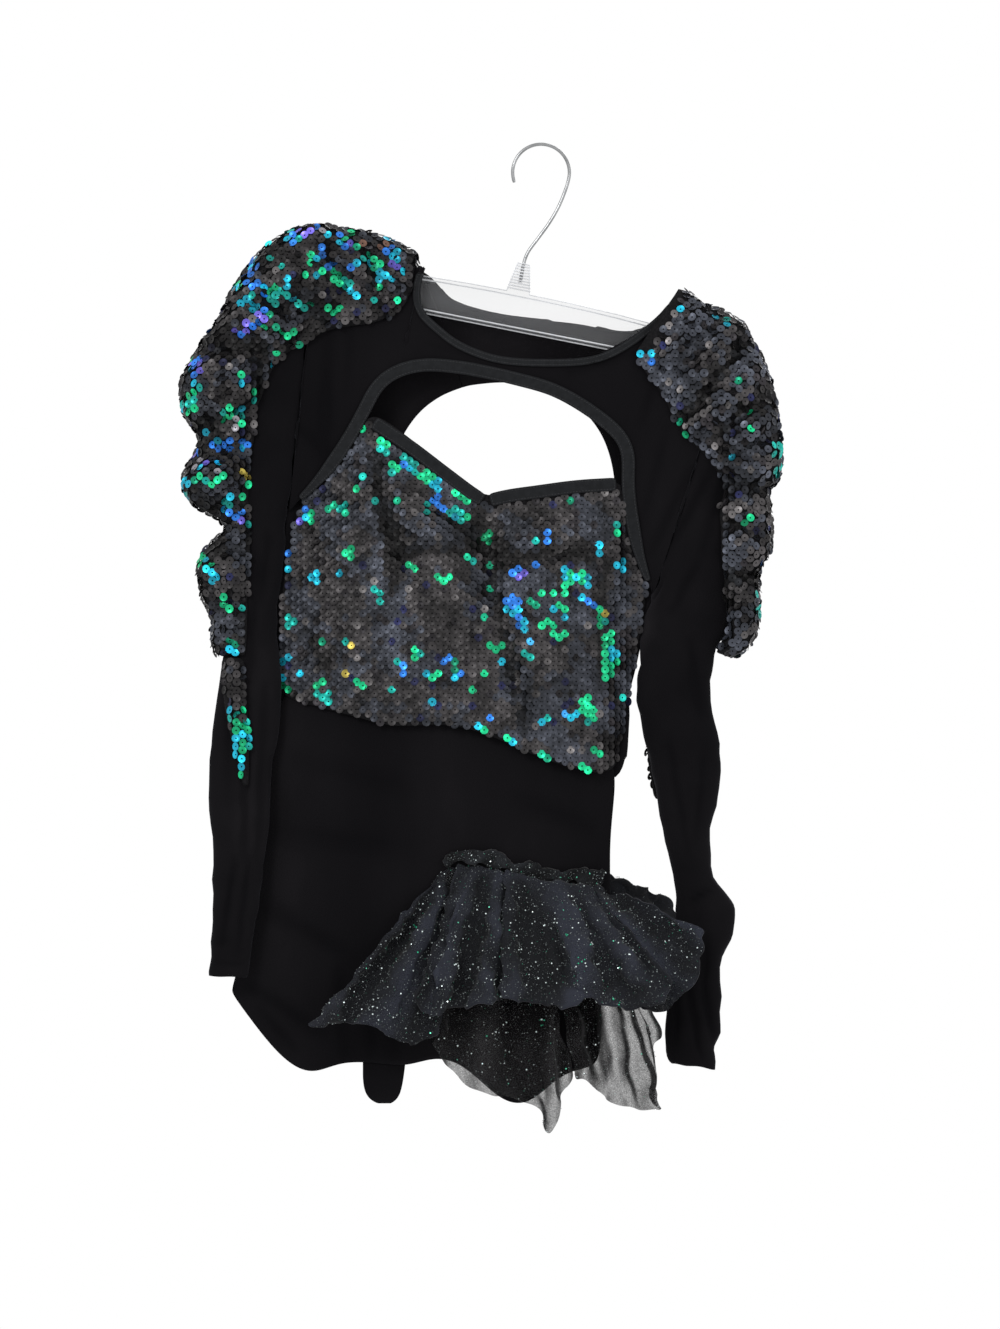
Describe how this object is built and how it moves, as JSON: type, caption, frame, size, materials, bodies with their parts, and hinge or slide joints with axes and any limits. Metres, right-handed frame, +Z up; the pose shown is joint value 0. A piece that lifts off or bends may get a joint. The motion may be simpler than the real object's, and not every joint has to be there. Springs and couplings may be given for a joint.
{
  "type": "dance costume on a hanger",
  "caption": "Child's long-sleeved velvet dance leotard with sequinned sleeve ruffles and bodice, keyhole front and tulle bustle, hung on a clear plastic hanger.",
  "frame": {"origin": "inside top of the hanger's hook, where a rail holds it", "axes": "+Z up, front of the costume towards -Y, the wearer's left side towards +X; the hanger hangs crooked by about 11 degrees, its +X end lower"},
  "size_m": [0.448, 0.1199, 0.7414],
  "materials": {
    "velvet": "black stretch velvet, matte with a faint sheen at grazing angles",
    "binding": "black folded stretch binding",
    "sequins": "black cloth covered in charcoal and iridescent green, teal, blue and violet cup sequins",
    "tulle": "sheer black tulle with fine silver and green glitter",
    "clear_plastic": "clear polished plastic",
    "wire": "bright plated wire"
  },
  "bodies": {
    "root": {"front_yoke": "velvet", "back": "velvet", "neck_binding_front": "binding", "neck_binding_back": "binding", "bodice": "sequins", "body_front": "velvet", "body_back": "velvet", "gusset": "velvet", "sleeve_left": "velvet", "sleeve_right": "velvet", "ruffle_left": "sequins", "ruffle_right": "sequins", "ruffle_left_tail": "sequins", "ruffle_right_tail": "sequins", "sweetheart_binding_left": "binding", "sweetheart_binding_right": "binding", "keyhole_binding": "binding", "bustle_heading": "tulle", "bustle_under_left": "tulle", "bustle_under_right": "tulle", "bustle_left": "tulle", "bustle_side": "tulle", "bustle_centre": "tulle", "bustle_right": "tulle", "bustle_back": "tulle", "hanger_bar": "clear_plastic", "hanger_hook": "wire"}
  },
  "joints": []
}
